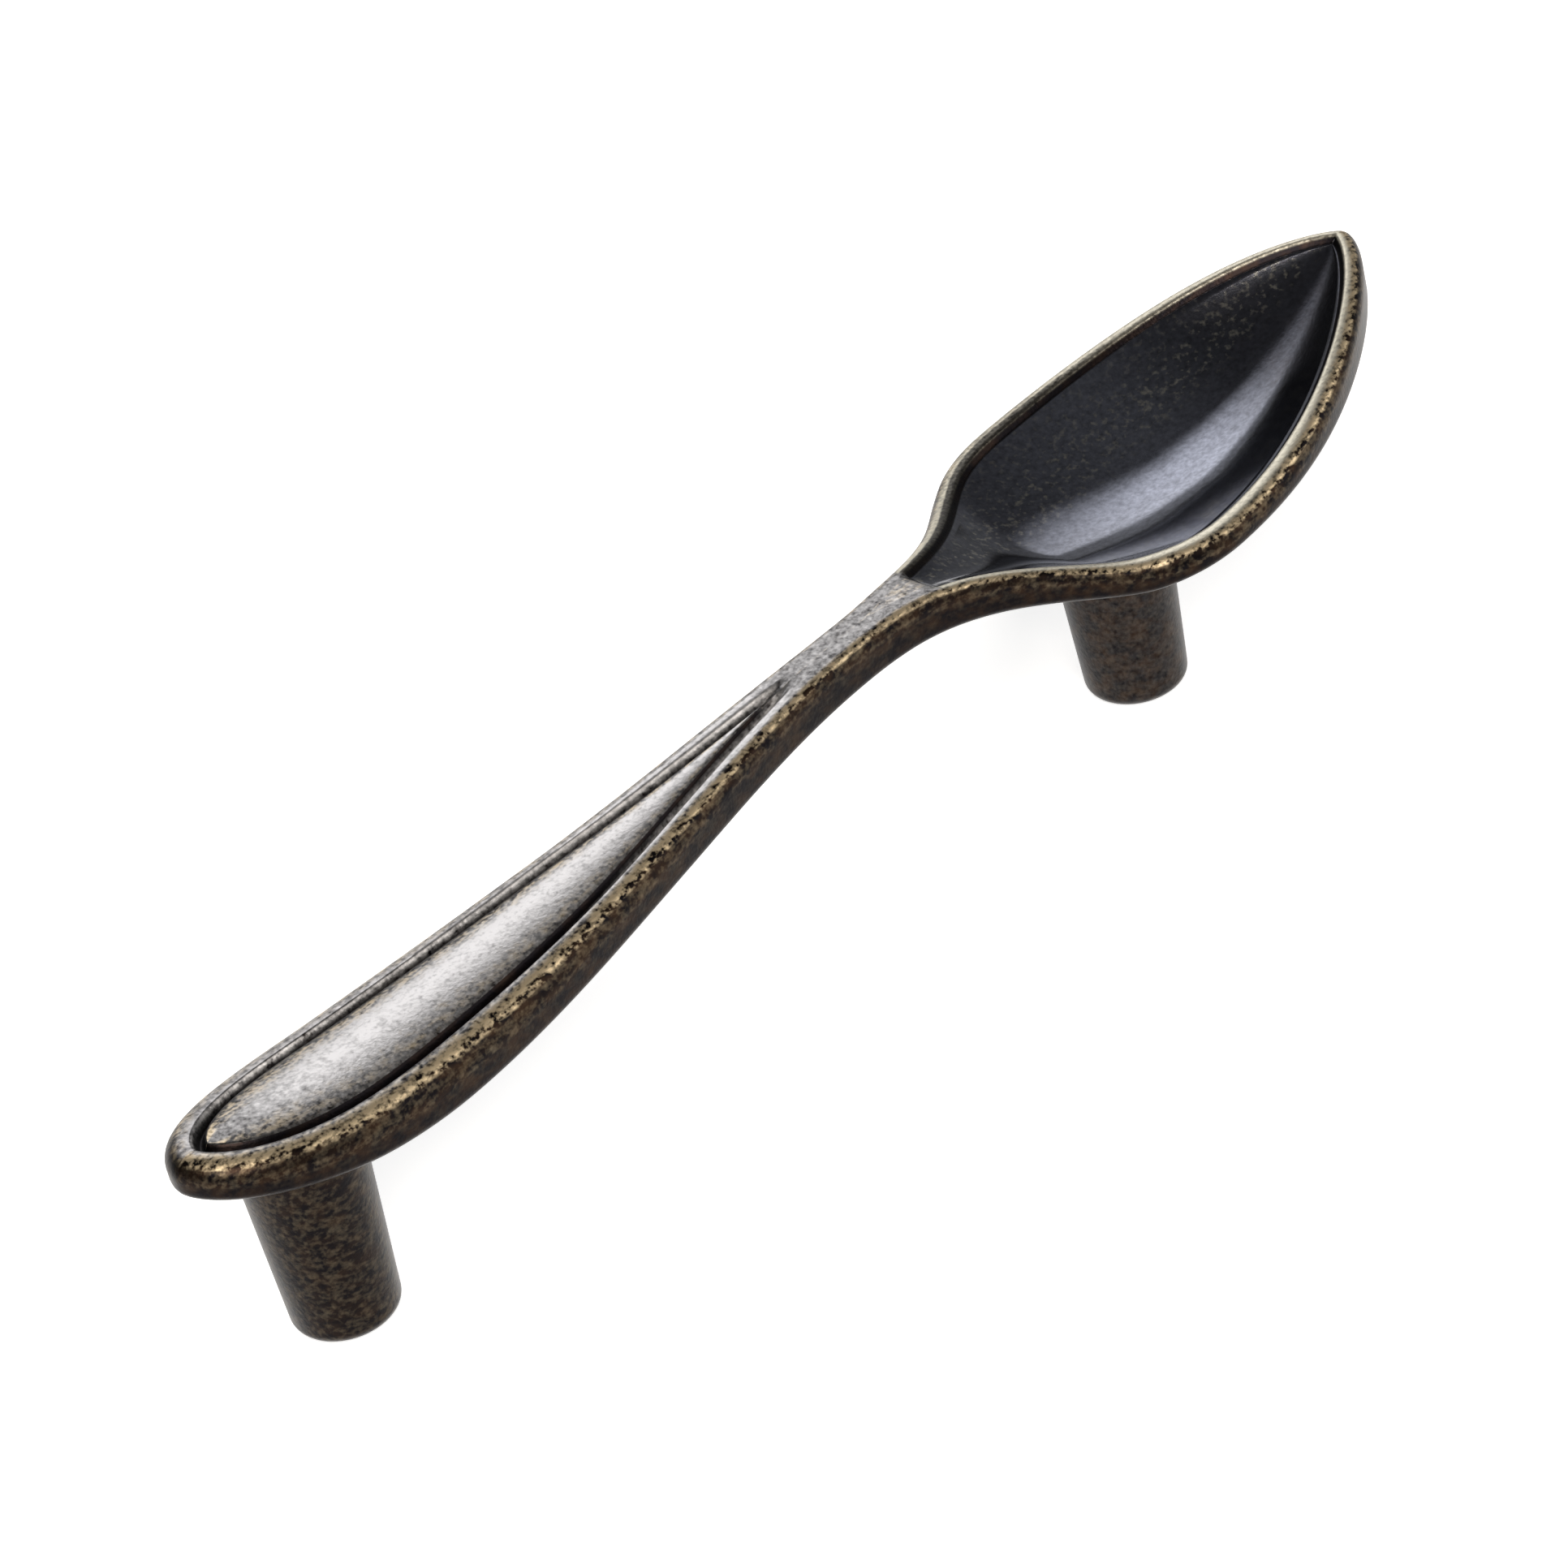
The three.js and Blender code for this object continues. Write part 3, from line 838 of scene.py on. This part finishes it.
def beside_screw(mesh, x, profile):
    """Makes points from a profile of radius and height, beside the screw's axis."""
    return [mesh.verts.new(Vector((x + radius, 0, height)) * MM) for radius, height in profile]


def spin_post(mesh, x):
    chain = beside_screw(mesh, x, post_profile(x))
    edges = [mesh.edges.new(pair) for pair in zip(chain, chain[1:])]
    bmesh.ops.spin(
        mesh,
        geom=chain + edges,
        cent=Vector((x, 0, 0)) * MM,
        axis=(0, 0, 1),
        angle=2 * math.pi,
        steps=POST_SIDES,
        use_merge=True,
        use_duplicate=False,
    )


posts = bmesh.new()
layers = finish_layers(posts)
for screw in (HANDLE_SCREW, BOWL_SCREW):
    spin_post(posts, screw)
bmesh.ops.remove_doubles(posts, verts=posts.verts[:], dist=MERGE_DISTANCE)
bmesh.ops.recalc_face_normals(posts, faces=posts.faces[:])
for vert in posts.verts:
    set_finish(vert, layers, HANDLE_POST_FINISH if vert.co.x < 0 else BOWL_POST_FINISH)
print("post faces:", len(posts.faces))

# %% [markdown]
# The screw thread inside each hole is a ridge that climbs as it turns. Spinning a small triangle
# while moving it up by one pitch a turn makes it in one go, and a face at each end closes it.

# %% Cut the threads
THREAD_MINOR = 1.65
THREAD_PITCH = 0.7
THREAD_START = 0.5
THREAD_TURNS = 14
THREAD_SIDES = 32
RIDGE_WIDTH = THREAD_PITCH * 0.9
THREAD_FINISH = {"silver": 1.0, "brown": 1.0}


def spin_thread(mesh, x):
    ridge = [
        (THREAD_MAJOR, THREAD_START),
        (THREAD_MINOR, THREAD_START + RIDGE_WIDTH / 2),
        (THREAD_MAJOR, THREAD_START + RIDGE_WIDTH),
    ]
    chain = beside_screw(mesh, x, ridge)
    edges = [mesh.edges.new(pair) for pair in zip(chain, chain[1:] + chain[:1])]
    bmesh.ops.spin(
        mesh,
        geom=chain + edges,
        cent=Vector((x, 0, 0)) * MM,
        axis=(0, 0, 1),
        dvec=Vector((0, 0, THREAD_PITCH / THREAD_SIDES)) * MM,
        angle=2 * math.pi * THREAD_TURNS,
        steps=THREAD_SIDES * THREAD_TURNS,
        use_merge=False,
        use_duplicate=False,
    )


threads = bmesh.new()
layers = finish_layers(threads)
for screw in (HANDLE_SCREW, BOWL_SCREW):
    spin_thread(threads, screw)
bmesh.ops.holes_fill(threads, edges=threads.edges[:], sides=3)
bmesh.ops.recalc_face_normals(threads, faces=threads.faces[:])
for vert in threads.verts:
    set_finish(vert, layers, THREAD_FINISH)
print("thread faces:", len(threads.faces))

# %% [markdown]
# ## One piece
#
# Skin, posts and threads are one casting, so they go into one mesh. It rides on the root body,
# stands in for the solid's own node and carries the finish's slot.

# %% Join the casting
pull_data = bpy.data.meshes.new("pull_skin")
for part in (posts, threads):
    loose = bpy.data.meshes.new("loose")
    part.to_mesh(loose)
    part.free()
    skin.from_mesh(loose)
skin.to_mesh(pull_data)
skin.free()
for polygon in pull_data.polygons:
    polygon.use_smooth = True
pull = bpy.data.objects.new("pull_skin", pull_data)
bpy.context.scene.collection.objects.link(pull)
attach(pull, "root")
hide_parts("spoon_pull")
print("pull faces:", len(pull_data.polygons))

# %% [markdown]
# ## Antique bronze
#
# The finish is a dark patina with bare metal showing through it in fine grains. A flat mix of two
# colours would look painted, so noise breaks it up: the stored share decides how much of a metal
# shows, and the noise decides where. The noise for the rubbed bronze is drawn out along the pull,
# the way that a wheel leaves it. The metals lie over one another from the patina up.

# %% Grain and stored shares
GROOVE_BLACK = (0.007, 0.006, 0.007)
WARM_BROWN = (0.025, 0.015, 0.010)
BRONZE = (0.78, 0.62, 0.40)
SILVER = (0.78, 0.75, 0.735)
CREAM = (0.80, 0.74, 0.60)
BLUE_BLACK = (0.32, 0.33, 0.39)

bronze = bpy.data.materials.new("antique_bronze")
bronze.use_nodes = True
bronze_tree = bronze.node_tree
bronze_tree.nodes.clear()
where = node(bronze_tree, "ShaderNodeTexCoord", output="Object")
share = {
    name: node(bronze_tree, "ShaderNodeAttribute", {"attribute_name": name}, output="Fac")
    for name in FINISHES
}


def grain(per_metre, detail, along=1.0):
    """Noise with about so many grains to the metre, drawn out along the pull where along is less."""
    stretch = {0: where, 1: (along, 1.0, 1.0)}
    stretched = node(bronze_tree, "ShaderNodeVectorMath", {"operation": "MULTIPLY"}, stretch)
    noise = {"Vector": stretched, "Scale": per_metre, "Detail": detail}
    return node(bronze_tree, "ShaderNodeTexNoise", {}, noise)


def mottled(amount, noise, contrast):
    """A share that rises and falls with the grain, but stays at nothing where it is nothing."""
    return (amount + (noise - 0.5) * contrast * (amount * 3).clamped()).clamped()


fine = grain(2600.0, 3.0)
coarse = grain(1200.0, 3.0)
streaks = grain(2000.0, 4.0, along=0.45)
specks = grain(1700.0, 3.0)
blotches = grain(900.0, 4.0, along=0.6)
pebbles = grain(3000.0, 3.0)
mottle = fine * 0.55 + coarse * 0.45
print("noise and share nodes:", len(bronze_tree.nodes))

# %% Patina and bare metals
BROWN_MOST = 0.45
SPECK_START = 0.54
SPECK_CONTRAST = 5
SPECK_MOST = 0.55

colour = mixed(bronze_tree, mottled(share["brown"] * BROWN_MOST, blotches, 4.0), GROOVE_BLACK, WARM_BROWN)
for amount, noise, contrast, metal in (
    (share["bronze"], streaks * 0.6 + fine * 0.4, 7.0, BRONZE),
    (share["silver"], mottle, 2.1, SILVER),
    (share["cream"], fine, 1.2, CREAM),
):
    colour = mixed(bronze_tree, mottled(amount, noise, contrast), colour, metal)
clouds = ((mottle - 0.5) * 1.3 + 0.68).clamped()
# The bowl share is strongest in the middle of the bowl, so the brighter blue-black there is a painted
# highlight.
colour = mixed(bronze_tree, share["bowl"], colour, mixed(bronze_tree, clouds, GROOVE_BLACK, BLUE_BLACK))
bare_flecks = ((specks - SPECK_START) * SPECK_CONTRAST).clamped() * share["flecks"] * SPECK_MOST
colour = mixed(bronze_tree, bare_flecks, colour, CREAM)
print("with colours:", len(bronze_tree.nodes))

# %% [markdown]
# The casting's skin is a little pebbled, and that makes bare metal sparkle where a reflection ends.
# A small bump is enough for it. The bowl is smoother than the rest, so there the pebbles fade out
# and the roughness drops until the surface mirrors the glow.

# %% Gloss and pebbles
PEBBLE_HEIGHT = 0.04 * MM
PEBBLE_STRENGTH = 0.7
METAL_ROUGHNESS = 0.35
PATINA_DULLING = 0.05
BOWL_SMOOTHING = 0.28
BOWL_PEBBLES_LOST = 0.95

polish = (share["bowl"] * 2).clamped()
relief = pebbles * (1 - polish * BOWL_PEBBLES_LOST)
bump = node(
    bronze_tree,
    "ShaderNodeBump",
    {},
    {"Strength": PEBBLE_STRENGTH, "Distance": PEBBLE_HEIGHT, "Height": relief},
)
surface = node(
    bronze_tree,
    "ShaderNodeBsdfPrincipled",
    {},
    {
        "Base Color": colour,
        "Metallic": 1.0,
        "Roughness": METAL_ROUGHNESS + share["brown"] * PATINA_DULLING - polish * BOWL_SMOOTHING,
        "Normal": bump,
    },
)
node(bronze_tree, "ShaderNodeOutputMaterial", {}, {"Surface": surface})
pull_data.materials.append(bronze)
print("finish nodes:", len(bronze_tree.nodes))
